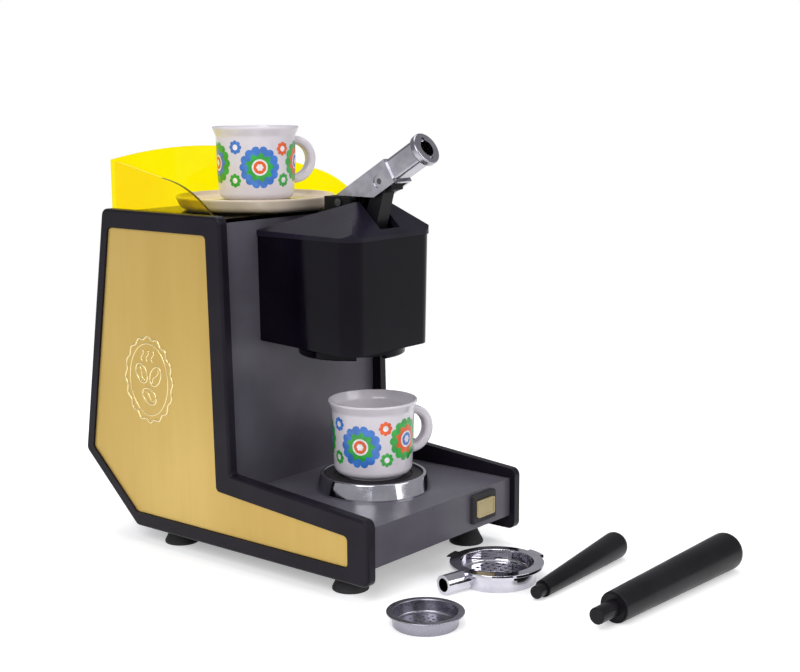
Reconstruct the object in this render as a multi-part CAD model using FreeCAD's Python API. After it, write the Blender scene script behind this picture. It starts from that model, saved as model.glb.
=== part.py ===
import FreeCAD, Part
import math
import os

# Toy coffee maker, in millimetres.
# +X is the machine's right, -Y its front, +Z up.
# The origin is on the floor, on the machine's middle plane.

V = FreeCAD.Vector
X_AXIS = V(1, 0, 0)
Y_AXIS = V(0, 1, 0)
Z_AXIS = V(0, 0, 1)

# Side frames: black plates that carry the gold panels
machine_width = 126.0
frame_thickness = 5.4
frame_bottom = 9.0
frame_top = 180.0
frame_front = -92.2
frame_tower_front = 2.8
frame_inner_corner_y = -0.3
frame_inner_corner_z = 48.9
frame_deck_front_z = 41.8
frame_rear_top_y = 92.2
frame_rear_low_y = 113.3
frame_rear_low_z = 45.7
frame_heel_y = 73.0
frame_corner_radius = 4.0
frame_edge_radius = 1.4

# Gold panels, seated in a recess of each frame
panel_recess = 2.0
panel_thickness = 0.9
panel_clearance = 0.2
border_rear = 5.6
border_top = 9.8
border_front = 10.4
border_bottom = 7.6
border_toe = 13.0
panel_corner_radius = 2.5

# Grey body shell
wall = 2.0
body_bottom = 16.3
deck_drop = 5.1
deck_top = frame_deck_front_z - deck_drop
body_front = -88.9
column_front = 6.2
body_drop = 3.6
body_top = frame_top - body_drop
rear_inset = 5.0
base_thickness = 2.0
rib_places = (-20.0, 15.0)
rib_width = 1.6
rib_height = 5.0
cover_thickness = 2.0
fit_gap = 0.15

# Feet
foot_radius = 9.2
foot_waist_radius = 6.2
foot_lip = 1.2
foot_x = 47.5
foot_front_y = -67.6
foot_rear_y = 54.0
foot_stem_radius = 2.6
foot_hole_clearance = 0.15
foot_flare_height = 7.0
foot_barb = 0.5
foot_barb_gap = 0.1
foot_barb_height = 2.9

# Amber cup tray
tray_wall = 1.8
tray_floor_thickness = 2.0
tray_side_clearance = 0.3
tray_rear_y = 90.0
tray_rear_z = body_top + 29.2
tray_arch = 5.2
tray_front_z = body_top + 6.1
tray_front_y = 17.0
tray_front_lean = 5.0
tray_shoulder_y = 48.0
tray_shoulder_z = body_top + 20.4

# Head housing and cap
head_half_width = 32.4
head_draft = 0.4
head_front = -57.1
head_bottom = 110.7
head_rear_bottom = head_bottom + 3.3
head_drop = 8.3
head_top = body_top - head_drop
head_corner_radius = 9.0
head_wall = 2.0
head_boss_radius = 3.6
head_boss_length = 8.0
cap_lip_height = 2.0
cap_overhang = 0.5
cap_rear_rise = 1.0
cap_apex_y = -41.5
cap_apex_z = head_top + 17.9
cap_apex_half_width = 12.5
cap_shell = 2.0
slot_half_width = 7.6
slot_front_y = -55.0
slot_rear_y = -23.0

# Group under the head
group_y = -28.5
collar_radius = 27.8
collar_bore_radius = 24.3
collar_groove_radius = 26.4
collar_height = 5.0
collar_drop = 3.6
collar_lip = 1.6
collar_neck_radius = 21.0
collar_gap_start_deg = 226.0
collar_gap_deg = 34.0
lug_count = 3
shower_thickness = 1.6
shower_hole_radius = 0.9
shower_rings = ((5.0, 6), (10.0, 12), (15.0, 12))
shower_rise = 1.0
collar_neck_height = 4.6
collar_neck_wall = 2.0
collar_edge = 0.6

# Lever: fulcrum, link point and channel, in the lever's own length and height
lever_angle_deg = 31.0
fulcrum_y = -29.4
fulcrum_z = head_top + 17.4
pin_radius = 1.5
lever_half_width = 7.0
lever_wall = 1.6
lever_top = 5.1
lever_bottom = -8.0
lever_cheek_end = 34.8
lever_rest_z = fulcrum_z + 3.1
lever_neck_half_width = 6.0
lever_neck_top = 4.6
lever_neck_bottom = -7.0
lever_flange_start = 53.0
lever_flange_end = 56.6
lever_flange_radius = 8.4
lever_axis_height = -1.3
lever_bore_radius = 4.2
lever_bore_depth = 16.0
link_along = 26.25
link_height = -2.7
link_radius = 1.5
tongue_half_width = 3.6
tongue_eye_radius = 3.4
lever_dimple_radius = 3.4

# Fulcrum bracket
bracket_half_width = 9.8
bracket_collar_clearance = 0.3
bracket_top = fulcrum_z + 2.7
bracket_bridge = 2.0
bracket_rear = -21.5
bracket_front = -36.8
tongue_side_clearance = 0.4
pin_head_radius = 2.0
pin_head_thickness = 1.0
running_clearance = 0.05

# Pump
pump_y = -43.0
pump_radius = 10.0
pump_wall = 1.5
pump_top = head_top - 10.1
pump_bottom = head_bottom + 6.3
pump_floor = 2.0
pump_bar_half = 6.0
pump_bar_thickness = 2.4
ledge_reach = 4.5
ledge_depth = 6.0
piston_thickness = 5.0
seal_section = 1.2
piston_clearance = 0.3
rod_radius = 2.6
yoke_half_width = 4.4
yoke_slot_play = 0.3
yoke_slot_run = 2.9
yoke_foot_half = 4.5
yoke_foot_z = head_top - 0.1
yoke_slot_clearance = 0.8
piston_rest_z = pump_top - 8.0
piston_crown = 1.0
seal_groove_low = 1.6
seal_groove_high = 3.4
seal_play = 0.05
seal_bore_gap = 0.06
spring_wire = 1.0
spring_turns = 6
spring_inset = 2.2
spring_end_gap = 0.1

# Water tank and hose inside the column
tank_half_width = 42.0
tank_front = 14.0
tank_rear = 74.0
tank_top = body_top - wall - 6.4
tank_bottom = tank_top - 72.0
tank_rounding = 5.0
shelf_inset = 12.0
shelf_rise = 20.0
hose_radius = 3.0
hose_bore = 1.8
hose_hole_clearance = 0.3
spout_length = 4.0
inlet_length = 6.5
inlet_rise = 4.2

# Cup ring
ring_y = -42.5
ring_top_radius = 27.3
ring_foot_radius = 30.0
ring_height = 8.4
ring_wall = 1.8
ring_lip = 1.5
ring_seat_width = 2.5
ring_seat_thickness = 1.2
ring_plate_drop = 1.1
ring_plate_thickness = 1.6
plate_grooves = (8.0, 14.0, 20.0)
plate_groove = 1.0

# Push switch
switch_x = 32.25
switch_z = 27.25
bezel_width = 20.0
bezel_height = 15.4
bezel_proud = 2.4
button_width = 14.4
button_height = 8.8
button_proud = 1.0
button_clearance = 0.3
button_rim = 0.8
button_dish = 0.4
switch_sleeve = 0.95
switch_sleeve_depth = 6.0
switch_floor_depth = 5.0
switch_stem_radius = 1.6
switch_stem_length = 6.0

# Cups and saucer
cup_rim_radius = 23.1
cup_radius = 21.4
cup_base_radius = 15.6
cup_floor = 2.6
cup_height = 40.0
cup_wall = 1.6
cup_handle_reach = 34.6
cup_handle_strap = 4.6
cup_handle_half_width = 3.4
cup_handle_rounding = 1.8
cup_handle_low = 9.0
cup_handle_drop = 5.6
cup_handle_angle_deg = -22.0
saucer_radius = 42.5
saucer_height = 7.6
saucer_x = -1.0
saucer_y = 38.5
saucer_foot_radius = 35.0
saucer_foot_width = 4.7
saucer_floor = 1.9
cup_offset_x = 3.0
cup_offset_y = 2.0
saucer_well_radius = 20.0
saucer_well_top = 3.9

# Pieces lying in front of the machine
portafilter_x = 7.0
portafilter_y = -116.7
portafilter_radius = 23.6
portafilter_body_radius = 19.8
portafilter_height = 10.0
portafilter_wall = 1.6
portafilter_flange = 1.6
portafilter_foot_width = 2.6
holder_hole_pitch = 3.9
holder_hole_half = 1.0
portafilter_lug_reach = 2.3
portafilter_lug_deg = 24.0
portafilter_lug_start_deg = 102.0
socket_angle_deg = 168.0
socket_radius = 4.9
socket_bore_radius = 3.4
socket_reach = 35.0
basket_x = -63.2
basket_y = -126.8
basket_radius = 18.1
basket_body_radius = 15.6
basket_height = 7.0
basket_wall = 0.8
basket_flange = 0.9
basket_hole_pitch = 3.0
basket_hole_half = 0.6

# Handles
lever_handle_x = -8.0
lever_handle_y = -193.0
lever_handle_turn_deg = -3.0
lever_handle_length = 104.0
lever_handle_small = 7.6
lever_handle_big = 9.7
lever_peg_radius = 4.0
lever_peg_length = 14.0
lever_handle_shoulder = 1.0
short_handle_x = 0.6
short_handle_y = -148.4
short_handle_turn_deg = 2.5
short_handle_length = 76.0
short_handle_small = 4.3
short_handle_big = 7.1
short_peg_radius = 3.2
short_peg_length = 6.5
short_handle_shoulder = 0.5
handle_neck_length = 0.6
handle_end_length = 5.0
handle_end_rounding = 4.5

# Screws
screw_radius = 1.4
screw_head_radius = 2.6
screw_head_height = 1.4
screw_head_rounding = 0.5
screw_slot = 0.6
screw_clearance = 0.2
screw_shank_gap = 0.05
case_screw_length = 7.0
head_screw_length = 8.5
cover_screw_seat = 0.9

half_width = machine_width / 2.0
frame_inner = half_width - frame_thickness

os.makedirs("parts", exist_ok=True)


def save(name, shape):
    """Write one node, after a check that its solids are whole."""
    shape = shape.removeSplitter() if len(shape.Solids) == 1 else shape
    if len(shape.Solids) == 1:
        shape = shape.Solids[0]
    if not shape.isValid() or shape.Volume <= 0:
        print("NOT VALID:", name)
    box = shape.BoundBox
    print(f"{name:24s} solids {len(shape.Solids)}  volume {shape.Volume:10.1f}  "
          f"z {box.ZMin:7.2f} to {box.ZMax:7.2f}")
    shape.exportStep(f"parts/{name}.step")
    return shape


def box(x0, x1, y0, y1, z0, z1):
    return Part.makeBox(x1 - x0, y1 - y0, z1 - z0, V(x0, y0, z0))


def cylinder(radius, length, base, axis):
    return Part.makeCylinder(radius, length, base, axis)


def polygon_face(points):
    return Part.Face(Part.makePolygon(points + [points[0]]))


def rounded_polygon(corners, radii, to_vector):
    """A closed wire through corners, each sharp or rounded by its own tangent arc."""
    count = len(corners)
    starts = []
    ends = []
    middles = []
    for i in range(count):
        before = V(*corners[i - 1], 0)
        here = V(*corners[i], 0)
        after = V(*corners[(i + 1) % count], 0)
        if not radii[i]:
            starts.append(here)
            ends.append(here)
            middles.append(None)
            continue
        u = (before - here).normalize()
        w = (after - here).normalize()
        opening = math.acos(max(-1.0, min(1.0, u.dot(w))))
        cut = radii[i] / math.tan(opening / 2.0)
        bisector = (u + w).normalize()
        centre = here + bisector * (radii[i] / math.sin(opening / 2.0))
        starts.append(here + u * cut)
        ends.append(here + w * cut)
        middles.append(centre - bisector * radii[i])
    edges = []
    for i in range(count):
        if middles[i]:
            a, m, b = (to_vector(p.x, p.y) for p in (starts[i], middles[i], ends[i]))
            edges.append(Part.Arc(a, m, b).toShape())
        leave = ends[i]
        reach = starts[(i + 1) % count]
        if (reach - leave).Length > 1e-6:
            line = Part.LineSegment(to_vector(leave.x, leave.y), to_vector(reach.x, reach.y))
            edges.append(line.toShape())
    return Part.Wire(edges)


def in_side_plane(x):
    """Maps a (y, z) pair to a point on the plane at x."""
    return lambda y, z: V(x, y, z)


def turned(outline, centre):
    """Turns a closed outline round a vertical axis; a corner is (radius, height) or also has a rounding."""
    roundings = [corner[2] if len(corner) > 2 else 0.0 for corner in outline]
    wire = rounded_polygon([corner[:2] for corner in outline], roundings,
                           lambda r, h: V(centre.x + r, centre.y, centre.z + h))
    return Part.Face(wire).revolve(centre, Z_AXIS, 360)


def turned_to(shape, axis_direction, at):
    """Moves a solid built along +Z at the origin so that it runs along axis_direction from at."""
    turned = shape.copy()
    turned.Placement = FreeCAD.Placement(at, FreeCAD.Rotation(Z_AXIS, axis_direction))
    return turned


# Side frames and gold panels
def frame_corners():
    return [
        (frame_rear_top_y, frame_top),
        (frame_tower_front, frame_top),
        (frame_inner_corner_y, frame_inner_corner_z),
        (frame_front, frame_deck_front_z),
        (frame_front, frame_bottom),
        (frame_heel_y, frame_bottom),
        (frame_rear_low_y, frame_rear_low_z),
    ]


def inset_corners(corners, insets):
    """Moves each side of a polygon inwards by its own inset, and gives the new corners."""
    count = len(corners)
    area = sum(corners[i][0] * corners[(i + 1) % count][1]
               - corners[(i + 1) % count][0] * corners[i][1] for i in range(count))
    sign = 1.0 if area > 0 else -1.0
    lines = []
    for i in range(count):
        (y0, z0), (y1, z1) = corners[i], corners[(i + 1) % count]
        length = math.hypot(y1 - y0, z1 - z0)
        ny, nz = -(z1 - z0) / length * sign, (y1 - y0) / length * sign
        lines.append((ny, nz, ny * y0 + nz * z0 + insets[i]))
    result = []
    for i in range(count):
        a1, b1, c1 = lines[i - 1]
        a2, b2, c2 = lines[i]
        det = a1 * b2 - a2 * b1
        result.append(((c1 * b2 - c2 * b1) / det, (a1 * c2 - a2 * c1) / det))
    return result


panel_borders = [border_top, border_front, border_front, border_toe, border_bottom,
                 border_rear, border_rear]


def panel_outline(extra):
    return inset_corners(frame_corners(), [border + extra for border in panel_borders])


def plate(corners, radii, x_from, thickness):
    wire = rounded_polygon(corners, radii, in_side_plane(x_from))
    return Part.Face(wire).extrude(V(thickness, 0, 0))


def frame_side(side):
    """One side frame, its outer face towards the given side."""
    outer_x = side * half_width
    inner_x = side * frame_inner
    radii = [frame_corner_radius] * 7
    radii[2] = 2.0
    solid = plate(frame_corners(), radii, inner_x, outer_x - inner_x)
    rim = [e for e in solid.Edges
           if abs(e.BoundBox.XMin - outer_x) < 0.01 and abs(e.BoundBox.XMax - outer_x) < 0.01]
    solid = solid.makeFillet(frame_edge_radius, rim)
    recess = plate(panel_outline(0.0), [panel_corner_radius] * 7, outer_x, -side * panel_recess)
    return solid.cut(recess)


def gold_panel(side):
    seat_x = side * (half_width - panel_recess)
    return plate(panel_outline(panel_clearance), [panel_corner_radius] * 7, seat_x,
                 side * panel_thickness)


# Grey body
def body_rear_corners(inset):
    """Rear top, rear low and heel corners of the body, set in from the frames."""
    ring = inset_corners(frame_corners(), [inset] * 7)
    return ring[0], ring[6], ring[5]


def body_profile(gap):
    """The outline of the grey body in the side plane, drawn in by gap."""
    rear_top, rear_low, heel = body_rear_corners(rear_inset + gap)
    slope = (rear_low[0] - rear_top[0]) / (rear_low[1] - rear_top[1])
    rear_top_y = rear_top[0] + slope * (body_top - gap - rear_top[1])
    slope = (rear_low[0] - heel[0]) / (rear_low[1] - heel[1])
    heel_y = heel[0] + slope * (body_bottom + gap - heel[1])
    return [
        (rear_top_y, body_top - gap),
        (column_front + gap, body_top - gap),
        (column_front + gap, deck_top - gap),
        (body_front + gap, deck_top - gap),
        (body_front + gap, body_bottom + gap),
        (heel_y, body_bottom + gap),
        rear_low,
    ]


def side_prism(corners, half):
    points = [V(-half, y, z) for y, z in corners]
    return polygon_face(points).extrude(V(2 * half, 0, 0))


boss_radius = 4.0
boss_depth = 9.0
rear_post_height = 14.0
boss_x = frame_inner - 10.0
boss_front_y = foot_front_y + 15.0
boss_rear_y = foot_rear_y - 15.0
boss_spots = [(-boss_x, boss_front_y), (boss_x, boss_front_y),
              (-boss_x, boss_rear_y), (boss_x, boss_rear_y)]
ledge_half = 5.0
ledge_run = 9.0
cover_screw_heights = [frame_rear_low_z + 14.3, body_top - 26.4]
cover_screw_x = frame_inner - 12.0


def at_height(a, b, z):
    """The y of the line through two (y, z) points at height z."""
    return a[0] + (b[0] - a[0]) * (z - a[1]) / (b[1] - a[1])


def rear_wall_y(z, inset):
    top, low, _ = body_rear_corners(rear_inset + inset)
    return at_height(top, low, z)


def body_shell():
    outer = side_prism(body_profile(0.0), frame_inner)
    inner = side_prism(body_profile(wall), frame_inner - wall)
    shell = outer.cut(inner)
    # The back and the underside are open for the cover and the base plate.
    in_top, in_low, in_heel = body_rear_corners(rear_inset + wall)
    below = body_bottom - 1.0
    behind = in_low[0] + 20.0
    open_back = side_prism([
        (behind, body_top - wall),
        (at_height(in_top, in_low, body_top - wall), body_top - wall),
        in_low,
        (at_height(in_low, in_heel, below), below),
        (behind, below),
    ], frame_inner - wall)
    open_base = box(-frame_inner + wall, frame_inner - wall, body_front + wall,
                    body_profile(0)[5][0], below, body_bottom + base_thickness)
    shell = shell.cut(open_back).cut(open_base)
    # Posts that the base plate is screwed to
    inside = body_bottom + base_thickness
    for x, y in boss_spots:
        top = deck_top - wall if y < column_front else inside + rear_post_height
        post = cylinder(boss_radius, top - inside, V(x, y, inside), Z_AXIS)
        if y > column_front:
            wall_x = math.copysign(frame_inner - wall, x)
            web = box(min(x, wall_x), max(x, wall_x), y - wall / 2, y + wall / 2, inside, top)
            post = post.fuse(web)
        pilot = cylinder(screw_radius, boss_depth, V(x, y, inside), Z_AXIS)
        shell = shell.fuse(post).cut(pilot)
    # Ledges behind the rear edge that the cover is screwed to
    for z in cover_screw_heights:
        for sign in (-1, 1):
            y_low = rear_wall_y(z - ledge_half, cover_thickness) - fit_gap
            y_high = rear_wall_y(z + ledge_half, cover_thickness) - fit_gap
            x_tip = cover_screw_x - ledge_half
            x_root = frame_inner - wall / 2
            points = [(y_low, z - ledge_half), (y_high, z + ledge_half),
                      (y_high - ledge_run, z + ledge_half), (y_low - ledge_run, z - ledge_half)]
            ledge = polygon_face([V(sign * x_tip, py, pz) for py, pz in points])
            ledge = ledge.extrude(V(sign * (x_root - x_tip), 0, 0))
            pilot_base = V(sign * cover_screw_x, y_high - ledge_run + 1.0, z)
            pilot = cylinder(screw_radius, ledge_run, pilot_base, Y_AXIS)
            shell = shell.fuse(ledge).cut(pilot)
    # Openings: water hose to the head, the switch, the head's screws
    hose_hole = cylinder(hose_radius + hose_hole_clearance, 3 * wall,
                         V(0, column_front - wall, hose_z), Y_AXIS)
    shell = shell.cut(hose_hole)
    half_width_of_hole = button_width / 2 + switch_sleeve + fit_gap / 3
    half_height_of_hole = button_height / 2 + switch_sleeve + fit_gap / 3
    shell = shell.cut(box(switch_x - half_width_of_hole, switch_x + half_width_of_hole,
                          body_front - 1.0, body_front + wall + 1.0,
                          switch_z - half_height_of_hole, switch_z + half_height_of_hole))
    for x, z in head_screw_spots:
        hole = cylinder(screw_radius + screw_clearance, 3 * wall, V(x, column_front - wall, z), Y_AXIS)
        shell = shell.cut(hole)
    return shell


hose_z = pump_bottom + inlet_rise
head_screw_x = 22.0
head_screw_spots = [(x, z) for z in (head_bottom + 17.3, head_top - 8.1)
                    for x in (-head_screw_x, head_screw_x)]


def base_plate():
    heel_y = body_profile(0)[5][0] - fit_gap
    solid = box(-frame_inner + wall + fit_gap, frame_inner - wall - fit_gap,
                body_front + wall + fit_gap, heel_y, body_bottom, body_bottom + base_thickness)
    for x, y in boss_spots:
        solid = solid.cut(cylinder(screw_radius + screw_clearance, 10.0, V(x, y, body_bottom - 2.0), Z_AXIS))
        solid = solid.cut(cylinder(screw_head_radius + screw_clearance, 10.0,
                                   V(x, y, body_bottom + screw_head_height - 10.0), Z_AXIS))
    for x, y in foot_spots():
        solid = solid.cut(cylinder(foot_stem_radius + foot_hole_clearance, 10.0,
                                   V(x, y, body_bottom - 2.0), Z_AXIS))
    # Stiffening ribs on the inside
    rib_reach = boss_x - boss_radius
    for y in rib_places:
        solid = solid.fuse(box(-rib_reach, rib_reach, y - rib_width / 2, y + rib_width / 2,
                               body_bottom + base_thickness, body_bottom + base_thickness + rib_height))
    return solid


def back_cover():
    """The removable rear wall, bent along the chamfer."""
    rear_top, rear_low, heel = body_rear_corners(rear_inset)
    in_top, in_low, in_heel = body_rear_corners(rear_inset + cover_thickness)
    top_z = body_top - wall - fit_gap
    half = frame_inner - wall - fit_gap
    low_z = body_bottom + base_thickness + fit_gap

    outline = [
        (at_height(rear_top, rear_low, top_z), top_z),
        (rear_low[0], rear_low[1]),
        (at_height(rear_low, heel, low_z), low_z),
        (at_height(in_low, in_heel, low_z), low_z),
        (in_low[0], in_low[1]),
        (at_height(in_top, in_low, top_z), top_z),
    ]
    solid = side_prism(outline, half)
    for z in cover_screw_heights:
        for sign in (-1, 1):
            y = rear_wall_y(z, 0)
            x = sign * cover_screw_x
            solid = solid.cut(cylinder(screw_radius + screw_clearance, 12.0, V(x, y - 6.0, z), Y_AXIS))
            solid = solid.cut(cylinder(screw_head_radius + screw_clearance, 12.0,
                                       V(x, y - cover_screw_seat, z), Y_AXIS))
    return solid


def screw(head_at, direction, length):
    """A pan head screw; its head's underside is at head_at and its shank runs along direction."""
    shank = screw_radius - screw_shank_gap
    top = -screw_head_height
    body = turned([(0.0, top), (screw_head_radius, top, screw_head_rounding), (screw_head_radius, 0.0),
                   (shank, 0.0), (shank, length), (0.0, length)], V(0, 0, 0))
    reach = screw_head_radius - screw_slot
    slot = box(-screw_slot / 2, screw_slot / 2, -reach, reach, top - 0.1, top + screw_slot)
    return turned_to(body.cut(slot), direction, head_at)


def base_screws():
    return Part.makeCompound([screw(V(x, y, body_bottom + screw_head_height), Z_AXIS, case_screw_length)
                              for x, y in boss_spots])


def cover_screws():
    solids = []
    for z in cover_screw_heights:
        seat_y = rear_wall_y(z, 0) - cover_screw_seat
        for x in (-cover_screw_x, cover_screw_x):
            solids.append(screw(V(x, seat_y, z), V(0, -1, 0), case_screw_length))
    return Part.makeCompound(solids)


# Feet
def foot_spots():
    return [(-foot_x, foot_front_y), (foot_x, foot_front_y),
            (-foot_x, foot_rear_y), (foot_x, foot_rear_y)]


def foot(x, y):
    """A flared rubber foot with a barbed stem pushed up through the base plate."""
    barb_z = body_bottom + base_thickness + foot_barb_gap
    barb_radius = foot_stem_radius + foot_hole_clearance + foot_barb
    return turned([
        (0.0, 0.0), (foot_radius, 0.0, 0.5), (foot_radius, foot_lip, 0.4),
        (foot_waist_radius, foot_flare_height, 4.0), (foot_waist_radius, body_bottom),
        (foot_stem_radius, body_bottom), (foot_stem_radius, barb_z), (barb_radius, barb_z),
        (foot_stem_radius, barb_z + foot_barb_height), (0.0, barb_z + foot_barb_height),
    ], V(x, y, 0))


# Amber cup tray
tray_half = frame_inner - tray_side_clearance
tray_floor_top = body_top + tray_floor_thickness


def amber_tray():
    """A clear tray with swept side walls and an arched back, open to the front."""
    x = -tray_half
    foot_y = tray_front_y - tray_front_lean
    rear_low = V(x, tray_rear_y, body_top)
    rear_high = V(x, tray_rear_y, tray_rear_z)
    shoulder = V(x, tray_shoulder_y, tray_shoulder_z)
    sweep = V(x, (tray_shoulder_y + tray_front_y) / 2 - 1.0, (tray_shoulder_z + tray_front_z) / 2 + 2.2)
    front_high = V(x, tray_front_y, tray_front_z)
    front_low = V(x, foot_y, tray_floor_top)
    wall_edges = [Part.LineSegment(rear_low, rear_high).toShape(),
                  Part.LineSegment(rear_high, shoulder).toShape(),
                  Part.Arc(shoulder, sweep, front_high).toShape(),
                  Part.LineSegment(front_high, front_low).toShape(),
                  Part.LineSegment(front_low, V(x, foot_y, body_top)).toShape(),
                  Part.LineSegment(V(x, foot_y, body_top), rear_low).toShape()]
    left = Part.Face(Part.Wire(wall_edges)).extrude(V(tray_wall, 0, 0))
    right = left.mirror(V(0, 0, 0), X_AXIS)
    floor = box(-tray_half, tray_half, column_front, tray_rear_y, body_top, tray_floor_top)
    right_low = V(tray_half, tray_rear_y, body_top)
    right_high = V(tray_half, tray_rear_y, tray_rear_z)
    back_edges = [Part.LineSegment(right_low, rear_low).toShape(),
                  Part.LineSegment(rear_low, rear_high).toShape(),
                  Part.Arc(rear_high, V(0, tray_rear_y, tray_rear_z + tray_arch), right_high).toShape(),
                  Part.LineSegment(right_high, right_low).toShape()]
    back = Part.Face(Part.Wire(back_edges)).extrude(V(0, -tray_wall, 0))
    return floor.fuse([left, right, back])


# Head housing and cap
def head_section(z, half, front, inset):
    """A level outline of the head with round front corners."""
    left = -half + inset
    right = half - inset
    y_front = front + inset
    radius = max(head_corner_radius - inset, 1.0)
    c = radius * (1 - math.sqrt(0.5))
    edges = [
        Part.LineSegment(V(left, column_front, z), V(left, y_front + radius, z)).toShape(),
        Part.Arc(V(left, y_front + radius, z), V(left + c, y_front + c, z),
                 V(left + radius, y_front, z)).toShape(),
        Part.LineSegment(V(left + radius, y_front, z), V(right - radius, y_front, z)).toShape(),
        Part.Arc(V(right - radius, y_front, z), V(right - c, y_front + c, z),
                 V(right, y_front + radius, z)).toShape(),
        Part.LineSegment(V(right, y_front + radius, z), V(right, column_front, z)).toShape(),
        Part.LineSegment(V(right, column_front, z), V(left, column_front, z)).toShape(),
    ]
    return Part.Wire(edges)


def head_block(inset, z_low, z_high):
    low = head_section(z_low, head_half_width - head_draft, head_front + head_draft, inset)
    high = head_section(z_high, head_half_width + head_draft, head_front - head_draft, inset)
    return Part.makeLoft([low, high], True, True)


def head_inner_half(z):
    """Half the inside width of the drafted housing at height z."""
    rise = (z - head_bottom) / (head_top - head_bottom)
    return head_half_width + head_draft * (2 * rise - 1) - head_wall


def underside_cut(lift):
    """The wedge below the head's sloping underside, raised by lift."""
    corners = [(head_front - 5.0, head_bottom + lift), (column_front + 5.0, head_rear_bottom + lift),
               (column_front + 5.0, head_bottom - 20.0), (head_front - 5.0, head_bottom - 20.0)]
    return side_prism(corners, half_width)


head_floor = 2.4


def head_housing():
    outer = head_block(0.0, head_bottom, head_top).cut(underside_cut(0.0))
    inner = head_block(head_wall, head_bottom, head_top + 0.001).cut(underside_cut(head_floor))
    inner = inner.cut(box(-half_width, half_width, column_front - head_wall, column_front + 5.0,
                          head_bottom - 5.0, head_top + 5.0))
    shell = outer.cut(inner)
    neck_hole = cylinder(collar_neck_radius + 0.1, 2 * head_wall + collar_neck_height,
                         V(0, group_y, head_bottom - head_wall), Z_AXIS)
    shell = shell.cut(neck_hole)
    shell = shell.cut(cylinder(hose_radius + hose_hole_clearance, 3 * head_wall,
                               V(0, column_front - 2 * head_wall, hose_z), Y_AXIS))
    for sign in (-1, 1):
        tip = head_inner_half(pump_top) - ledge_reach
        root = head_half_width - head_wall / 2
        ledge = box(min(sign * tip, sign * root), max(sign * tip, sign * root),
                    pump_y - pump_bar_half, pump_y + pump_bar_half,
                    pump_top - pump_bar_thickness - ledge_depth, pump_top - pump_bar_thickness)
        shell = shell.fuse(ledge)
    for x, z in head_screw_spots:
        boss = cylinder(head_boss_radius, head_boss_length,
                        V(x, column_front - head_wall - head_boss_length, z), Y_AXIS)
        pilot = cylinder(screw_radius, boss_depth, V(x, column_front - boss_depth, z), Y_AXIS)
        shell = shell.fuse(boss).cut(pilot)
    return shell


def head_screws():
    return Part.makeCompound([screw(V(x, column_front + wall, z), V(0, -1, 0), head_screw_length)
                              for x, z in head_screw_spots])


cap_base_z = head_top
cap_rim_z = head_top + cap_lip_height


def roof_solid(drop, inset):
    """The cap's hipped roof, lowered by drop and drawn in by inset."""
    half = head_half_width + head_draft + cap_overhang - inset
    front = head_front - head_draft - cap_overhang + inset
    rear = column_front - (inset if inset else 0.0)
    apex = cap_apex_half_width - inset * 0.4
    z = cap_rim_z - drop
    top = cap_apex_z - drop
    a = V(-half, front, z)
    b = V(half, front, z)
    c = V(half, rear, z + cap_rear_rise)
    d = V(-half, rear, z + cap_rear_rise)
    e = V(-apex, cap_apex_y, top)
    f = V(apex, cap_apex_y, top)
    low = cap_base_z - (0.5 if drop else 0.0)
    g, h, i, j = (V(p.x, p.y, low) for p in (a, b, c, d))
    faces = [
        polygon_face([a, b, f, e]),
        polygon_face([e, f, c]),
        polygon_face([e, c, d]),
        polygon_face([b, c, f]),
        polygon_face([d, a, e]),
        polygon_face([a, g, h, b]),
        polygon_face([b, h, i, c]),
        polygon_face([c, i, j, d]),
        polygon_face([d, j, g, a]),
        polygon_face([g, j, i, h]),
    ]
    return Part.Solid(Part.Shell(faces))


def head_cap():
    """The hipped cap with its lip, hollow below, and slotted for the lever."""
    roof = roof_solid(0.0, 0.0)
    rounded = head_section(cap_base_z - 1.0, head_half_width + head_draft + cap_overhang,
                           head_front - head_draft - cap_overhang, 0.0)
    roof = roof.common(Part.Face(rounded).extrude(V(0, 0, 2 * (cap_apex_z - cap_base_z))))
    hollow = roof_solid(cap_shell * 1.35, cap_shell + cap_overhang)
    cap = roof.cut(hollow)
    slot = box(-slot_half_width, slot_half_width, slot_front_y, slot_rear_y,
               cap_base_z - 1.0, cap_apex_z + 5.0)
    return cap.cut(slot)


# Fulcrum bracket: two ears that stand on the cap and hold the lever's pin
def fulcrum_bracket():
    solids = []
    for sign in (-1, 1):
        x_in = sign * slot_half_width
        x_out = sign * bracket_half_width
        ear = box(min(x_in, x_out), max(x_in, x_out), bracket_front, bracket_rear,
                  cap_base_z + 1.0, bracket_top)
        solids.append(ear)
    bridge = box(-bracket_half_width, bracket_half_width, bracket_rear - 0.01,
                 bracket_rear + bracket_bridge, cap_base_z + 1.0, bracket_top)
    bracket = solids[0].fuse([solids[1], bridge])
    collars = []
    collar_inner = tongue_half_width + tongue_side_clearance
    collar_round = lever_rest_z - fulcrum_z - bracket_collar_clearance
    for sign in (-1, 1):
        x_low = collar_inner if sign > 0 else -slot_half_width
        collars.append(cylinder(collar_round, slot_half_width - collar_inner,
                                V(x_low, fulcrum_y, fulcrum_z), X_AXIS))
    bracket = bracket.fuse(collars)
    roof = roof_solid(0.0, 0.0)
    roof = roof.cut(box(-slot_half_width, slot_half_width, slot_front_y, slot_rear_y,
                        cap_base_z - 1.0, cap_apex_z + 5.0))
    bracket = bracket.cut(roof)
    bracket = Part.makeCompound(sorted(bracket.Solids, key=lambda s: -s.Volume)[:1]).Solids[0]
    pin_hole = cylinder(pin_radius + 0.01, 40.0, V(-20, fulcrum_y, fulcrum_z), X_AXIS)
    return bracket.cut(pin_hole)


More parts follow.
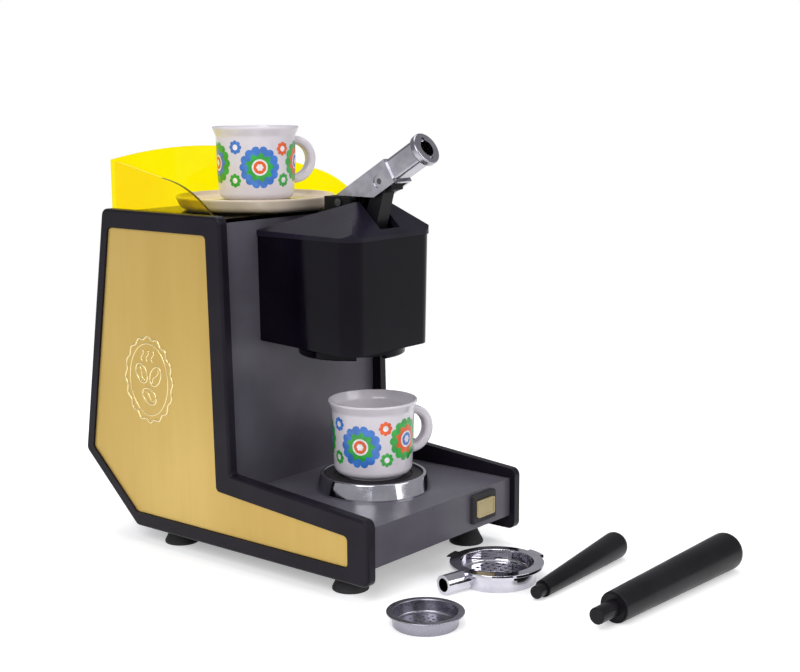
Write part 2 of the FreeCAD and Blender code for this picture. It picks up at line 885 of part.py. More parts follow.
def fulcrum_pin():
    shaft = cylinder(pin_radius, 2 * bracket_half_width,
                     V(-bracket_half_width, fulcrum_y, fulcrum_z), X_AXIS)
    heads = [cylinder(pin_head_radius, pin_head_thickness,
                      V(bracket_half_width if s > 0 else -bracket_half_width - pin_head_thickness,
                        fulcrum_y, fulcrum_z), X_AXIS) for s in (-1, 1)]
    return shaft.fuse(heads)


# Lever, built in its own length and height and set at its rest angle
lever_cos = math.cos(math.radians(lever_angle_deg))
lever_sin = math.sin(math.radians(lever_angle_deg))
lever_direction = V(0, -lever_cos, lever_sin)
lever_up = V(0, lever_sin, lever_cos)


def on_lever(along, height, x=0.0):
    return (V(x, fulcrum_y, fulcrum_z) + lever_direction * along + lever_up * height)


def lever_prism(points, x0, x1):
    face = polygon_face([on_lever(s, n, x0) for s, n in points])
    return face.extrude(V(x1 - x0, 0, 0))


def rest_line_along(height):
    """How far along the lever its level lower end lies at a height on it."""
    return (lever_rest_z - fulcrum_z - height * lever_cos) / lever_sin


def lever_arm():
    """Die-cast channel with two cheeks, a neck, and a round flange with the handle's socket."""
    cheek = [
        (rest_line_along(lever_top), lever_top), (lever_cheek_end, lever_top),
        (lever_cheek_end, lever_bottom), (rest_line_along(lever_bottom), lever_bottom),
    ]
    body = lever_prism(cheek, -lever_half_width, lever_half_width)
    hollow_top = lever_top - lever_wall
    hollow = lever_prism([
        (rest_line_along(hollow_top) - 20.0, hollow_top), (lever_cheek_end - lever_wall, hollow_top),
        (lever_cheek_end - lever_wall, lever_bottom - 2.0),
        (rest_line_along(lever_bottom - 2.0) - 20.0, lever_bottom - 2.0),
    ], -lever_half_width + lever_wall, lever_half_width - lever_wall)
    body = body.cut(hollow)
    # Tongue between the bracket's ears, round the fulcrum pin
    eye = cylinder(tongue_eye_radius, 2 * tongue_half_width,
                   V(-tongue_half_width, fulcrum_y, fulcrum_z), X_AXIS)
    tongue = lever_prism([
        (-3.0, 1.2), (0.0, 3.3), (6.0, lever_top - 0.2), (16.0, lever_top - 0.2),
        (16.0, hollow_top - 1.6), (8.0, 0.2), (2.5, -2.4), (-1.0, -3.2), (-3.2, -0.8),
    ], -tongue_half_width, tongue_half_width)
    body = body.fuse([eye, tongue])
    neck = lever_prism([
        (lever_cheek_end - 1.0, lever_neck_top), (lever_flange_start, lever_neck_top),
        (lever_flange_start, lever_neck_bottom), (lever_cheek_end - 1.0, lever_neck_bottom),
    ], -lever_neck_half_width, lever_neck_half_width)
    long_edges = [e for e in neck.Edges if abs(e.Length - (lever_flange_start - lever_cheek_end + 1.0)) < 0.1]
    neck = neck.makeFillet(1.6, long_edges)
    flange = cylinder(lever_flange_radius, lever_flange_end - lever_flange_start,
                      on_lever(lever_flange_start, lever_axis_height), lever_direction)
    rims = [e for e in flange.Edges if e.Length > 6 * lever_flange_radius - 1.0]
    flange = flange.makeFillet(0.8, rims)
    body = body.fuse([neck, flange])
    bore = cylinder(lever_bore_radius, lever_bore_depth + 5.0,
                    on_lever(lever_flange_end + 5.0, lever_axis_height), lever_direction * -1.0)
    body = body.cut(bore)
    # Two keyways across the mouth of the socket
    for sign in (-1, 1):
        key = lever_prism([
            (lever_flange_end - 1.2, lever_axis_height + sign * (lever_bore_radius - 1.0)),
            (lever_flange_end + 1.0, lever_axis_height + sign * (lever_bore_radius - 1.0)),
            (lever_flange_end + 1.0, lever_axis_height + sign * (lever_bore_radius + 1.6)),
            (lever_flange_end - 1.2, lever_axis_height + sign * (lever_bore_radius + 1.6)),
        ], -0.9, 0.9)
        body = body.cut(key)
    # Round dimples over the link pin
    for sign in (-1, 1):
        centre = on_lever(link_along, link_height, sign * (lever_half_width - 0.5))
        body = body.cut(cylinder(lever_dimple_radius, 2.0, centre, X_AXIS * sign))
    link = on_lever(link_along, link_height)
    body = body.cut(cylinder(link_radius, 40.0, V(-20, link.y, link.z), X_AXIS))
    body = body.cut(cylinder(pin_radius + running_clearance, 40.0, V(-20, fulcrum_y, fulcrum_z), X_AXIS))
    return body


link_point = on_lever(link_along, link_height)


def link_pin():
    half = lever_half_width - 0.5
    pin = cylinder(link_radius, 2 * half, V(-half, link_point.y, link_point.z), X_AXIS)
    return pin


# Pump: yoke and rod, piston, seal, spring, cylinder
def piston_yoke():
    """A plate whose slot rides on the lever's link pin, with a rod down to the piston."""
    play = link_radius + yoke_slot_play
    plate_points = [
        (link_point.y - yoke_slot_run - play - 1.8, link_point.z + 2.0),
        (link_point.y - yoke_slot_run - play - 0.4, link_point.z + play + 1.6),
        (link_point.y + play + 1.6, link_point.z + play + 1.6),
        (link_point.y + play + 3.6, link_point.z - 2.0),
        (pump_y + yoke_foot_half, yoke_foot_z),
        (pump_y - yoke_foot_half, yoke_foot_z),
        (pump_y - yoke_foot_half - 2.0, yoke_foot_z + 6.0),
        (slot_front_y + yoke_slot_clearance, cap_apex_z + 4.8),
        (link_point.y - yoke_slot_run - play - 1.8, link_point.z - 4.2),
    ]
    yoke = side_prism(plate_points, yoke_half_width)
    rod_foot = piston_rest_z - piston_crown
    rod = cylinder(rod_radius, yoke_foot_z - rod_foot, V(0, pump_y, rod_foot), Z_AXIS)
    yoke = yoke.fuse(rod)
    y_back = link_point.y
    y_front = link_point.y - yoke_slot_run
    slot_box = box(-20, 20, y_front, y_back, link_point.z - play, link_point.z + play)
    slot = slot_box.fuse([cylinder(play, 40, V(-20, y_front, link_point.z), X_AXIS),
                          cylinder(play, 40, V(-20, y_back, link_point.z), X_AXIS)])
    return yoke.cut(slot)


bore_radius = pump_radius - pump_wall


def piston_head():
    radius = bore_radius - piston_clearance
    low = piston_rest_z - piston_thickness
    groove = radius - seal_section
    top = piston_rest_z - piston_crown
    profile = [
        (0.0, low), (radius, low), (radius, low + seal_groove_low), (groove, low + seal_groove_low),
        (groove, low + seal_groove_high), (radius, low + seal_groove_high), (radius, top), (0.0, top),
    ]
    return turned(profile, V(0, pump_y, 0))


def piston_seal():
    inner = bore_radius - piston_clearance - seal_section
    outer = bore_radius - seal_bore_gap
    low = piston_rest_z - piston_thickness + seal_groove_low + seal_play
    high = piston_rest_z - piston_thickness + seal_groove_high - seal_play
    return turned([(inner, low), (outer, low), (outer, high), (inner, high)], V(0, pump_y, 0))


def pump_cylinder():
    """A cup-shaped barrel with an outlet towards the group and a flange at its top."""
    outer = cylinder(pump_radius, pump_top - pump_bottom, V(0, pump_y, pump_bottom), Z_AXIS)
    half = head_inner_half(pump_top) - fit_gap
    bar = box(-half, half, pump_y - pump_bar_half, pump_y + pump_bar_half,
              pump_top - pump_bar_thickness, pump_top)
    inlet = cylinder(hose_radius, inlet_length + 1.0, V(0, pump_y + pump_radius - 1.0, hose_z), Y_AXIS)
    inner = cylinder(bore_radius, pump_top - pump_bottom - pump_floor + 1.0,
                     V(0, pump_y, pump_bottom + pump_floor), Z_AXIS)
    barrel = outer.fuse([bar, inlet]).cut(inner)
    bore_start = pump_y + pump_radius - 2 * pump_wall
    return barrel.cut(cylinder(hose_bore, inlet_length + 2 * pump_wall, V(0, bore_start, hose_z), Y_AXIS))


def tangent_arcs(start, start_way, end, end_way):
    """Two arcs that meet smoothly and run from start to end with the given unit directions."""
    chord = end - start
    ways = start_way + end_way
    spread = 2.0 * (1.0 - start_way.dot(end_way))
    along = chord.dot(ways)
    reach = (math.sqrt(along ** 2 + spread * chord.dot(chord)) - along) / spread
    first_corner = start + start_way * reach
    last_corner = end - end_way * reach
    joint = (first_corner + last_corner) * 0.5
    arcs = []
    for a, corner, b in ((start, first_corner, joint), (joint, last_corner, end)):
        half = (a + b) * 0.5
        half_chord = (b - a).Length / 2.0
        half_turn = math.acos(min(1.0, half_chord / reach))
        rise = (corner - half).normalize() * half_chord * math.tan(half_turn / 2.0)
        arcs.append(Part.Arc(a, half + rise, b).toShape())
    return arcs


def return_spring():
    """A coil spring between the barrel's floor and the piston."""
    low = pump_bottom + pump_floor + spring_wire / 2 + spring_end_gap
    high = piston_rest_z - piston_thickness - spring_wire / 2 - spring_end_gap
    radius = bore_radius - spring_inset
    climb = (high - low) / spring_turns / (2 * math.pi)
    quarters = 4 * spring_turns

    def place(i):
        angle = i * math.pi / 2
        point = V(radius * math.cos(angle), pump_y + radius * math.sin(angle), low + climb * angle)
        way = V(-radius * math.sin(angle), radius * math.cos(angle), climb).normalize()
        return point, way

    path = []
    for i in range(quarters):
        path += tangent_arcs(*place(i), *place(i + 1))
    start, way = place(0)
    section = Part.Wire(Part.makeCircle(spring_wire / 2, start, way))
    spring = Part.Wire(path).makePipeShell([section], True, False)
    gap = (high - low) / spring_turns - spring_wire
    print(f"spring: least gap between turns {gap:.2f}, volume over section times length "
          f"{spring.Volume / (math.pi * (spring_wire / 2) ** 2 * sum(e.Length for e in path)):.4f}")
    return spring


# Group: collar with a bayonet groove, and the shower plate
def ring_sector(radius_in, radius_out, z0, z1, start_deg, span_deg, centre):
    pts = [V(centre.x + radius_in, centre.y, z0), V(centre.x + radius_out, centre.y, z0),
           V(centre.x + radius_out, centre.y, z1), V(centre.x + radius_in, centre.y, z1)]
    solid = polygon_face(pts).revolve(V(centre.x, centre.y, 0), Z_AXIS, span_deg)
    solid.rotate(V(centre.x, centre.y, 0), Z_AXIS, start_deg)
    return solid


collar_bottom = head_bottom - collar_drop


def group_collar():
    centre = V(0, group_y, 0)
    low = collar_bottom
    top = head_bottom - running_clearance
    neck_top = top + collar_neck_height
    neck_bore = collar_neck_radius - collar_neck_wall
    roof = top - collar_edge
    profile = [
        (collar_bore_radius, low), (collar_radius - collar_edge, low), (collar_radius, low + collar_edge),
        (collar_radius, top), (collar_neck_radius, top), (collar_neck_radius, neck_top),
        (neck_bore, neck_top), (neck_bore, roof), (collar_groove_radius, roof),
        (collar_groove_radius, low + collar_lip), (collar_bore_radius, low + collar_lip),
    ]
    collar = turned(profile, centre)
    for i in range(lug_count):
        start = collar_gap_start_deg + i * 360.0 / lug_count
        gap = ring_sector(collar_bore_radius - 1.0, collar_radius + 2.0, low - 1.0,
                          low + collar_lip + 0.2, start, collar_gap_deg, centre)
        collar = collar.cut(gap)
    return collar


def shower_plate():
    z = head_bottom + shower_rise
    disc = cylinder(collar_neck_radius - collar_neck_wall - running_clearance, shower_thickness,
                    V(0, group_y, z), Z_AXIS)
    cuts = []
    for ring_radius, count in shower_rings:
        for i in range(count):
            angle = 2 * math.pi * i / count
            cuts.append(cylinder(shower_hole_radius, 3 * shower_thickness,
                                 V(ring_radius * math.cos(angle), group_y + ring_radius * math.sin(angle),
                                   z - shower_thickness), Z_AXIS))
    return disc.cut(Part.makeCompound(cuts))


# Water tank and hose in the column
def water_tank():
    outer = box(-tank_half_width, tank_half_width, tank_front, tank_rear, tank_bottom, tank_top)
    outer = outer.makeFillet(tank_rounding, [e for e in outer.Edges
                                             if e.BoundBox.ZLength > tank_top - tank_bottom - 1.0])
    inner = box(-tank_half_width + wall, tank_half_width - wall, tank_front + wall, tank_rear - wall,
                tank_bottom + wall, tank_top + 1.0)
    inner = inner.makeFillet(tank_rounding - wall, [e for e in inner.Edges
                                                    if e.BoundBox.ZLength > tank_top - tank_bottom - 3.0])
    tank = outer.cut(inner)
    shelf_reach = frame_inner - wall
    for sign in (-1, 1):
        x_root = sign * tank_half_width
        x_tip = sign * shelf_reach
        shelf = box(min(x_root, x_tip), max(x_root, x_tip), tank_front + shelf_inset, tank_rear - shelf_inset,
                    tank_bottom + shelf_rise, tank_bottom + shelf_rise + wall)
        tank = tank.fuse(shelf)
    spout_end = V(0, tank_front - spout_length, hose_z)
    tank = tank.fuse(cylinder(hose_radius, spout_length + wall / 2, spout_end, Y_AXIS))
    return tank.cut(cylinder(hose_bore, spout_length + 2 * wall, spout_end, Y_AXIS))


def water_hose():
    """A straight length pushed up to the tank's spout and the pump's inlet."""
    front = pump_y + pump_radius + inlet_length
    rear = tank_front - spout_length
    outer = cylinder(hose_radius, rear - front, V(0, front, hose_z), Y_AXIS)
    return outer.cut(cylinder(hose_bore, rear - front, V(0, front, hose_z), Y_AXIS))


# Chrome ring that the cup stands in, and its plate
def cup_ring():
    seat = ring_height - ring_plate_drop - ring_plate_thickness
    inner = ring_top_radius - ring_lip
    return turned([
        (ring_foot_radius - ring_wall, 0.0), (ring_foot_radius, 0.0), (ring_foot_radius, 0.9, 0.6),
        (ring_top_radius + 0.3, ring_height, 0.7), (inner, ring_height, 0.5), (inner, seat),
        (inner - ring_seat_width, seat), (inner - ring_seat_width, seat - ring_seat_thickness),
        (ring_top_radius - 1.0, seat - ring_seat_thickness),
    ], V(0, ring_y, deck_top))


ring_plate_top = deck_top + ring_height - ring_plate_drop


def cup_plate():
    radius = ring_top_radius - ring_lip - 0.1
    z = ring_plate_top - ring_plate_thickness
    disc = cylinder(radius, ring_plate_thickness, V(0, ring_y, z), Z_AXIS)
    for r in plate_grooves:
        disc = disc.cut(ring_sector(r - plate_groove / 2, r + plate_groove / 2,
                                    ring_plate_top - plate_groove / 2, ring_plate_top + 1.0,
                                    0.0, 360.0, V(0, ring_y, 0)))
    return disc


# Push switch
def rounded_bar(width, height, y0, y1, radius, x, z):
    bar = box(x - width / 2, x + width / 2, y0, y1, z - height / 2, z + height / 2)
    return bar.makeFillet(radius, [e for e in bar.Edges if e.BoundBox.YLength > (y1 - y0) - 0.01])


def switch_bezel():
    face_y = body_front - bezel_proud
    ring = rounded_bar(bezel_width, bezel_height, face_y, body_front, 1.2, switch_x, switch_z)
    ring = ring.makeChamfer(0.7, [e for e in ring.Edges if e.BoundBox.YMax < face_y + 0.01])
    half_x = button_width / 2
    half_z = button_height / 2
    sleeve = box(switch_x - half_x - switch_sleeve, switch_x + half_x + switch_sleeve,
                 body_front - 0.01, body_front + switch_sleeve_depth,
                 switch_z - half_z - switch_sleeve, switch_z + half_z + switch_sleeve)
    hole = box(switch_x - half_x - button_clearance, switch_x + half_x + button_clearance,
               face_y - 1.0, body_front + switch_floor_depth,
               switch_z - half_z - button_clearance, switch_z + half_z + button_clearance)
    stem_hole = cylinder(switch_stem_radius + button_clearance, 4.0,
                         V(switch_x, body_front + switch_floor_depth - 1.0, switch_z), Y_AXIS)
    return ring.fuse(sleeve).cut(hole).cut(stem_hole)


def switch_button():
    face_y = body_front - bezel_proud - button_proud
    rear_y = body_front + 2.0
    button = rounded_bar(button_width, button_height, face_y, rear_y, button_rim, switch_x, switch_z)
    half_x = button_width / 2 - button_rim
    half_z = button_height / 2 - button_rim
    button = button.cut(box(switch_x - half_x, switch_x + half_x, face_y - 1.0, face_y + button_dish,
                            switch_z - half_z, switch_z + half_z))
    stem = cylinder(switch_stem_radius, switch_stem_length, V(switch_x, rear_y - 0.1, switch_z), Y_AXIS)
    return button.fuse(stem)


# Cups and saucer
def cup_body(x, y, z):
    """A small mug: thin flared rim, near-straight wall, round foot, ear handle."""
    h = cup_height
    inner = cup_radius - cup_wall
    body = turned([
        (0.0, 1.2), (cup_base_radius - 2.0, 1.2), (cup_base_radius - 2.0, 0.0, 0.3),
        (cup_base_radius, 0.0, 0.4), (cup_base_radius + 0.5, 0.9), (cup_radius - 1.2, 2.6, 4.0),
        (cup_radius - 0.5, 14.0, 40.0), (cup_radius, h - 5.0, 4.0), (cup_rim_radius, h - 1.0, 0.5),
        (cup_rim_radius, h, 0.3), (cup_rim_radius - 0.9, h, 0.3), (inner + 0.3, h - 4.4, 4.0),
        (inner - 0.4, 14.0, 40.0), (inner - 1.1, cup_floor, 4.0), (0.0, cup_floor),
    ], V(0, 0, 0))
    root = cup_radius - 1.1
    high = h - cup_handle_drop
    low = cup_handle_low
    middle = (low + high) / 2
    strap = cup_handle_strap

    def upright(r, height):
        return V(r, -cup_handle_half_width, height)

    outline = Part.Wire([
        Part.Arc(upright(root, high), upright(cup_handle_reach, middle), upright(root, low)).toShape(),
        Part.LineSegment(upright(root, low), upright(root, low + strap)).toShape(),
        Part.Arc(upright(root, low + strap), upright(cup_handle_reach - strap, middle),
                 upright(root, high - strap)).toShape(),
        Part.LineSegment(upright(root, high - strap), upright(root, high)).toShape(),
    ])
    handle = Part.Face(outline).extrude(V(0, 2 * cup_handle_half_width, 0))
    rims = [e for e in handle.Edges if e.BoundBox.YLength < 0.01 and e.BoundBox.XLength > 1.0]
    handle = handle.makeFillet(cup_handle_rounding, rims)
    cup = body.fuse(handle)
    cup.rotate(V(0, 0, 0), Z_AXIS, cup_handle_angle_deg)
    cup.translate(V(x, y, z))
    return cup


def saucer():
    """A round saucer on a foot ring, with a steep outer side and a shallow well for the cup."""
    r = saucer_radius
    h = saucer_height
    foot = saucer_foot_radius
    hollow = saucer_well_top - saucer_floor
    plain = saucer_well_top + 0.6
    return turned([
        (0.0, hollow), (foot - saucer_foot_width - 0.8, hollow), (foot - saucer_foot_width, 0.0),
        (foot, 0.0, 0.8), (r - 2.6, 1.2, 5.0), (r, h - 0.8, 1.5), (r, h, 0.3), (r - 0.9, h, 0.3),
        (r - 2.6, plain + 0.3, 3.0), (saucer_well_radius + 0.8, plain),
        (saucer_well_radius, saucer_well_top), (0.0, saucer_well_top),
    ], V(saucer_x, saucer_y, tray_floor_top))


# Portafilter and filter basket, lying loose
socket_cos = math.cos(math.radians(socket_angle_deg))
socket_sin = math.sin(math.radians(socket_angle_deg))
socket_axis = V(socket_cos, socket_sin, 0)
socket_z = socket_radius + 0.3


def perforations(x, y, z, reach, pitch, radius):
    cuts = []
    n = int(reach / pitch)
    for i in range(-n, n + 1):
        for j in range(-n, n + 1):
            if math.hypot(i * pitch, j * pitch) <= reach:
                cuts.append(box(x + i * pitch - radius, x + i * pitch + radius,
                                y + j * pitch - radius, y + j * pitch + radius, z - 3.0, z + 3.0))
    return Part.makeCompound(cuts)


def portafilter():
    """The filter holder: a cup with a flange, three bayonet lugs and the handle's socket."""
    h = portafilter_height
    r = portafilter_radius
    rb = portafilter_body_radius
    w = portafilter_wall
    flange_low = h - portafilter_flange
    foot = rb - portafilter_foot_width
    centre = V(portafilter_x, portafilter_y, 0)
    bowl = turned([
        (0.0, 2.0), (foot, 2.0), (foot, 0.0), (rb, 0.0, 0.8), (rb, flange_low),
        (r, flange_low, 0.3), (r, h, 0.3), (rb - w, h, 0.3), (rb - w, 4.0, 1.2), (0.0, 4.0),
    ], centre)
    for i in range(lug_count):
        start = portafilter_lug_start_deg - portafilter_lug_deg / 2 + i * 360.0 / lug_count
        lug = ring_sector(r - 1.0, r + portafilter_lug_reach, flange_low, h - 0.1, start,
                          portafilter_lug_deg, centre)
        bowl = bowl.fuse(lug)
    root = centre + socket_axis * (rb - 1.2) + V(0, 0, socket_z)
    tube = cylinder(socket_radius, socket_reach - rb + 1.2, root, socket_axis)
    bowl = bowl.fuse(tube)
    mouth = centre + socket_axis * (socket_reach + 1.0) + V(0, 0, socket_z)
    bore = cylinder(socket_bore_radius, socket_reach - rb - 1.0, mouth, socket_axis * -1.0)
    bowl = bowl.cut(bore)
    holes = perforations(centre.x, centre.y, 3.0, rb - w - 4.0, holder_hole_pitch, holder_hole_half)
    return bowl.cut(holes)


def filter_basket():
    h = basket_height
    rb = basket_body_radius
    w = basket_wall
    basket = turned([
        (0.0, 0.0), (rb - 0.3, 0.0, 0.9), (rb, h - basket_flange), (basket_radius, h - basket_flange, 0.3),
        (basket_radius, h, 0.3), (rb - w, h, 0.5), (rb - w - 0.3, w, 1.2), (0.0, w),
    ], V(basket_x, basket_y, 0))
    holes = perforations(basket_x, basket_y, w / 2, rb - w - 3.4, basket_hole_pitch, basket_hole_half)
    return basket.cut(holes)


# Handles, lying on their sides on the floor
def handle_outline(length, small, big, peg_radius, peg_length, shoulder):
    """Half outline of a tapered handle with a round end, a shoulder, a neck and a peg."""
    return [
        (0.0, -peg_length), (peg_radius, -peg_length, 0.5), (peg_radius, -handle_neck_length),
        (small - shoulder, -handle_neck_length), (small - shoulder, 0.0), (small, 0.0, shoulder / 2),
        (big, length - handle_end_length), (big, length, handle_end_rounding), (0.0, length),
    ]


def lying_handle(outline, x, y, small, big, length, turn_deg):
    """Lays a turned handle on the floor: its side touches, so its axis climbs a little."""
    solid = turned(outline, V(0, 0, 0))
    climb = math.atan((big - small) / (length - handle_end_length))
    solid.rotate(V(0, 0, 0), Y_AXIS, 90.0 - math.degrees(climb))
    solid.rotate(V(0, 0, 0), Z_AXIS, turn_deg)
    solid.translate(V(x, y, small * math.cos(climb)))
    return solid


def lever_handle():
    outline = handle_outline(lever_handle_length, lever_handle_small, lever_handle_big,
                             lever_peg_radius, lever_peg_length, lever_handle_shoulder)
    return lying_handle(outline, lever_handle_x, lever_handle_y, lever_handle_small, lever_handle_big,
                        lever_handle_length, lever_handle_turn_deg)


def portafilter_handle():
    outline = handle_outline(short_handle_length, short_handle_small, short_handle_big,
                             short_peg_radius, short_peg_length, short_handle_shoulder)
    return lying_handle(outline, short_handle_x, short_handle_y, short_handle_small, short_handle_big,
                        short_handle_length, short_handle_turn_deg)


save("left_side_frame", frame_side(-1))
save("right_side_frame", frame_side(1))
save("left_gold_panel", gold_panel(-1))
save("right_gold_panel", gold_panel(1))
save("body_shell", body_shell())
save("base_plate", base_plate())
save("back_cover", back_cover())
save("base_screws", base_screws())
save("cover_screws", cover_screws())
foot_names = ("foot_front_left", "foot_front_right", "foot_rear_left", "foot_rear_right")
for foot_name, (foot_at_x, foot_at_y) in zip(foot_names, foot_spots()):
    save(foot_name, foot(foot_at_x, foot_at_y))
save("amber_tray", amber_tray())
save("head_housing", head_housing())
save("head_cap", head_cap())
save("head_screws", head_screws())
save("fulcrum_bracket", fulcrum_bracket())
save("fulcrum_pin", fulcrum_pin())
save("lever_arm", lever_arm())
save("link_pin", link_pin())
save("piston_yoke", piston_yoke())
save("piston_head", piston_head())
save("piston_seal", piston_seal())
save("return_spring", return_spring())
save("pump_cylinder", pump_cylinder())
save("group_collar", group_collar())
save("shower_plate", shower_plate())
save("water_tank", water_tank())
save("water_hose", water_hose())
save("cup_ring", cup_ring())
save("cup_plate", cup_plate())
save("switch_bezel", switch_bezel())
save("switch_button", switch_button())
save("saucer", saucer())
save("upper_cup", cup_body(saucer_x + cup_offset_x, saucer_y + cup_offset_y,
                           tray_floor_top + saucer_well_top))
save("lower_cup", cup_body(0.0, ring_y, ring_plate_top))
save("portafilter", portafilter())
save("filter_basket", filter_basket())
save("portafilter_handle", portafilter_handle())
save("lever_handle", lever_handle())
print("lever socket mouth", on_lever(lever_flange_end, lever_axis_height))
print("link point", link_point)
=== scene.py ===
import math

import bmesh
import bpy
from mathutils import Matrix, Vector
from mathutils.bvhtree import BVHTree

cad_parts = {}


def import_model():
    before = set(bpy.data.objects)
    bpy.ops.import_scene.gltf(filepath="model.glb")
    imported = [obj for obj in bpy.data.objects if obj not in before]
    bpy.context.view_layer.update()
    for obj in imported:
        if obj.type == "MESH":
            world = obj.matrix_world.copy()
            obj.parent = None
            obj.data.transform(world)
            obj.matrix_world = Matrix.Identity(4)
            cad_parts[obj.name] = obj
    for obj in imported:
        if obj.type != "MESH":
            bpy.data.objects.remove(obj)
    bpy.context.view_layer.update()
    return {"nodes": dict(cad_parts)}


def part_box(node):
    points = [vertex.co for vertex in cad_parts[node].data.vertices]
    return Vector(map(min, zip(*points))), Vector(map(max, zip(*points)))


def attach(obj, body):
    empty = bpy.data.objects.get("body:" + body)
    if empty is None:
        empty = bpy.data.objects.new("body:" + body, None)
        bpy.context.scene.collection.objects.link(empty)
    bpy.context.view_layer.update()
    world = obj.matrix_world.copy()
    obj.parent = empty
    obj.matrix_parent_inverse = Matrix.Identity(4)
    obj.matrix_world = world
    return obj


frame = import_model()

MM = 0.001

# Camera: the view from which the object is seen
CAMERA_PLACE_MM = (-560.5, -519.2, 244.7)
CAMERA_AZIMUTH = -50.585
CAMERA_DOWN = 9.91
CAMERA_ROLL = -0.331
CAMERA_LENS = 65.4
CAMERA_SENSOR = 36
CAMERA_SHIFT = (0.0045, 0.0012)
CAMERA_CLIP = (0.01, 50)


def camera():
    """The camera looks down at the object from its left front."""
    a = math.radians(CAMERA_AZIMUTH)
    e = math.radians(CAMERA_DOWN)
    roll = math.radians(CAMERA_ROLL)
    ahead = Vector((-math.sin(a) * math.cos(e), math.cos(a) * math.cos(e), -math.sin(e)))
    right = Vector((math.cos(a), math.sin(a), 0))
    up = right.cross(ahead)
    x = right * math.cos(roll) + up * math.sin(roll)
    y = up * math.cos(roll) - right * math.sin(roll)
    data = bpy.data.cameras.new("camera")
    data.lens = CAMERA_LENS
    data.sensor_width = CAMERA_SENSOR
    data.shift_x, data.shift_y = CAMERA_SHIFT
    data.clip_start, data.clip_end = CAMERA_CLIP
    obj = bpy.data.objects.new("camera", data)
    bpy.context.scene.collection.objects.link(obj)
    turn = Matrix((x, y, -ahead)).transposed().to_4x4()
    obj.matrix_world = Matrix.Translation(Vector(CAMERA_PLACE_MM) * MM) @ turn
    bpy.context.scene.camera = obj


def linear(r, g, b):
    """An sRGB colour from 0 to 255 as the linear colour that a shader takes."""
    def one(v):
        v = v / 255
        return v / 12.92 if v <= 0.04045 else ((v + 0.055) / 1.055) ** 2.4
    return (one(r), one(g), one(b), 1)


NOISE_ROUGHNESS = 0.55


class Surface:
    """A node material with a few helpers for noise, bump and mixing."""

    def __init__(self, name, colour, rough, metal=0.0):
        self.mat = bpy.data.materials.new(name)
        self.mat.use_nodes = True
        self.nodes = self.mat.node_tree.nodes
        self.links = self.mat.node_tree.links
        self.shader = self.nodes["Principled BSDF"]
        self.shader.inputs["Base Color"].default_value = colour
        self.shader.inputs["Roughness"].default_value = rough
        self.shader.inputs["Metallic"].default_value = metal
        self.place = self.nodes.new("ShaderNodeTexCoord").outputs["Object"]
        self.last_normal = None

    def put(self, name, value):
        """Sets one of the shader's own values."""
        self.shader.inputs[name].default_value = value
        return self

    def stretched(self, scale):
        """Object coordinates scaled along each axis."""
        mapping = self.nodes.new("ShaderNodeMapping")
        mapping.inputs["Scale"].default_value = scale
        self.links.new(self.place, mapping.inputs["Vector"])
        return mapping.outputs["Vector"]

    def noise(self, scale, stretch=None, detail=4.0):
        node = self.nodes.new("ShaderNodeTexNoise")
        node.inputs["Scale"].default_value = scale
        node.inputs["Detail"].default_value = detail
        node.inputs["Roughness"].default_value = NOISE_ROUGHNESS
        self.links.new(self.stretched(stretch) if stretch else self.place, node.inputs["Vector"])
        return node.outputs["Fac"]

    def ramp(self, source, low, high, low_value, high_value):
        """Takes a source from low to high over to low_value to high_value."""
        node = self.nodes.new("ShaderNodeMapRange")
        node.inputs["From Min"].default_value = low
        node.inputs["From Max"].default_value = high
        node.inputs["To Min"].default_value = low_value
        node.inputs["To Max"].default_value = high_value
        self.links.new(source, node.inputs["Value"])
        return node.outputs["Result"]

    def vary_colour(self, source, low_colour, high_colour, low=0.35, high=0.65):
        node = self.nodes.new("ShaderNodeMix")
        node.data_type = "RGBA"
        node.inputs["A"].default_value = low_colour
        node.inputs["B"].default_value = high_colour
        self.links.new(self.ramp(source, low, high, 0, 1), node.inputs["Factor"])
        self.links.new(node.outputs["Result"], self.shader.inputs["Base Color"])
        return self

    def vary_rough(self, source, low_value, high_value, low=0.3, high=0.7):
        roughness = self.ramp(source, low, high, low_value, high_value)
        self.links.new(roughness, self.shader.inputs["Roughness"])
        return self

    def bump(self, source, strength, distance):
        node = self.nodes.new("ShaderNodeBump")
        node.inputs["Strength"].default_value = strength
        node.inputs["Distance"].default_value = distance
        self.links.new(source, node.inputs["Height"])
        if self.last_normal is not None:
            self.links.new(self.last_normal, node.inputs["Normal"])
        self.last_normal = node.outputs["Normal"]
        self.links.new(self.last_normal, self.shader.inputs["Normal"])
        return self


def moulded_plastic(name, dark, light, rough_low, rough_high,
                    grain_scale=1400, grain=0.12, gloss=0.15):
    """Moulded plastic: soft colour drift, fine grain and uneven gloss from handling."""
    s = Surface(name, light, rough_high)
    s.put("Specular IOR Level", gloss)
    s.vary_colour(s.noise(35), dark, light)
    s.vary_rough(s.noise(60, detail=3.0), rough_low, rough_high, 0.2, 0.8)
    s.bump(s.noise(grain_scale, detail=2.0), grain, 0.00008)
    s.bump(s.noise(18, detail=1.0), 0.08, 0.0006)
    return s


def gold_sheet():
    """Gold-coloured sheet with fine upright brush lines and a few rubbed spots."""
    s = Surface("gold_sheet", linear(200, 168, 92), 0.42, 0.55)
    fine = s.noise(900, stretch=(1.0, 1.0, 0.012), detail=3.0)
    broad = s.noise(14, stretch=(1.0, 1.0, 0.25))
    s.vary_colour(broad, linear(192, 160, 84), linear(206, 176, 100))
    s.vary_rough(fine, 0.36, 0.50)
    s.bump(fine, 0.10, 0.00006)
    s.bump(s.noise(10, detail=1.0), 0.10, 0.0008)
    return s


